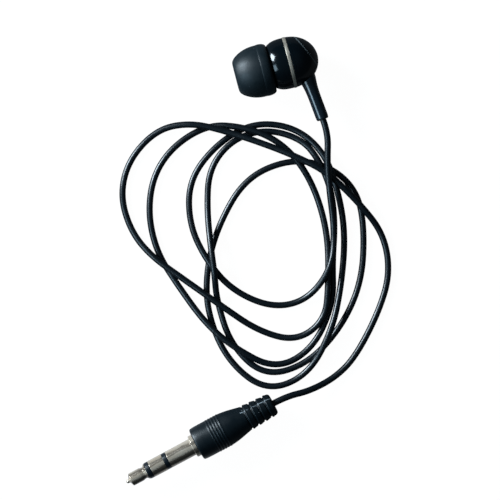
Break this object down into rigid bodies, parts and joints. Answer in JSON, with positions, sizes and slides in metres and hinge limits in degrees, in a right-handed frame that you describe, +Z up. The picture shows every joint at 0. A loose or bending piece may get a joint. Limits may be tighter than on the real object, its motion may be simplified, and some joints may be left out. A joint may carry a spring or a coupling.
{
  "type": "wired in-ear earphone",
  "caption": "In-ear earphone with a soft ear tip, a metal trim ring and a thin round cord in loose loops that ends in a straight moulded 3.5 mm plug.",
  "frame": {"origin": "on the table, under the middle of the earphone (shell and ear tip, without its stem, cord and plug)", "axes": "+Z up from the table; +X along the earphone's axis, from its sound outlet to its back; the stem leaves towards -Y"},
  "size_m": [0.0631, 0.0795, 0.0105],
  "materials": {
    "gloss_shell": "polished moulded plastic",
    "trim_metal": "plated ring",
    "mesh_steel": "punched and woven steel",
    "tip_silicone": "matte silicone",
    "soft_black": "foam rubber",
    "driver_plastic": "moulded plastic",
    "film": "clear amber film",
    "plain_steel": "plated steel",
    "magnet": "nickel-plated magnet",
    "felt": "acoustic paper",
    "board": "circuit board",
    "copper": "enamelled copper",
    "solder": "tin solder",
    "relief_plastic": "smooth flexible plastic",
    "cord_jacket": "satin flexible jacket",
    "plug_nickel": "nickel plate",
    "plug_band": "moulded insulator",
    "plug_mould": "satin moulded plastic"
  },
  "bodies": {
    "earbud": {"front_housing": "gloss_shell", "rear_housing": "gloss_shell", "rear_cap": "gloss_shell", "trim_ring": "trim_metal", "nozzle_mesh": "mesh_steel", "driver_gasket": "soft_black", "driver_cover": "mesh_steel", "diaphragm_ring": "driver_plastic", "diaphragm_surround": "film", "driver_frame": "driver_plastic", "driver_yoke": "plain_steel", "driver_magnet": "magnet", "pole_plate": "plain_steel", "vent_damper": "felt", "terminal_board": "board", "solder_joints": "solder", "strain_relief": "relief_plastic", "cord_tail": "cord_jacket", "cord_knot": "cord_jacket", "plug_tip": "plug_nickel", "tip_insulator": "plug_band", "plug_ring": "plug_nickel", "ring_insulator": "plug_band", "plug_sleeve": "plug_nickel", "plug_body": "plug_mould", "plug_core": "driver_plastic", "plug_cord_end": "cord_jacket", "plug_tags": "plain_steel", "plug_solder": "solder", "cord": "cord_jacket", "lead_wires": "copper", "plug_wires": "copper"},
    "ear_tip": {"ear_tip": "tip_silicone"},
    "voice_coil": {"voice_coil": "copper", "diaphragm": "film"}
  },
  "joints": [
    {"name": "ear_tip_pull", "type": "slide", "parent": "earbud", "child": "ear_tip", "axis": [-1, 0, 0], "range_m": [0, 0.008]},
    {"name": "voice_coil_travel", "type": "slide", "parent": "earbud", "child": "voice_coil", "axis": [1, 0, 0], "range_m": [-0.0002, 0.0002], "stiffness_N_per_m": 20}
  ]
}
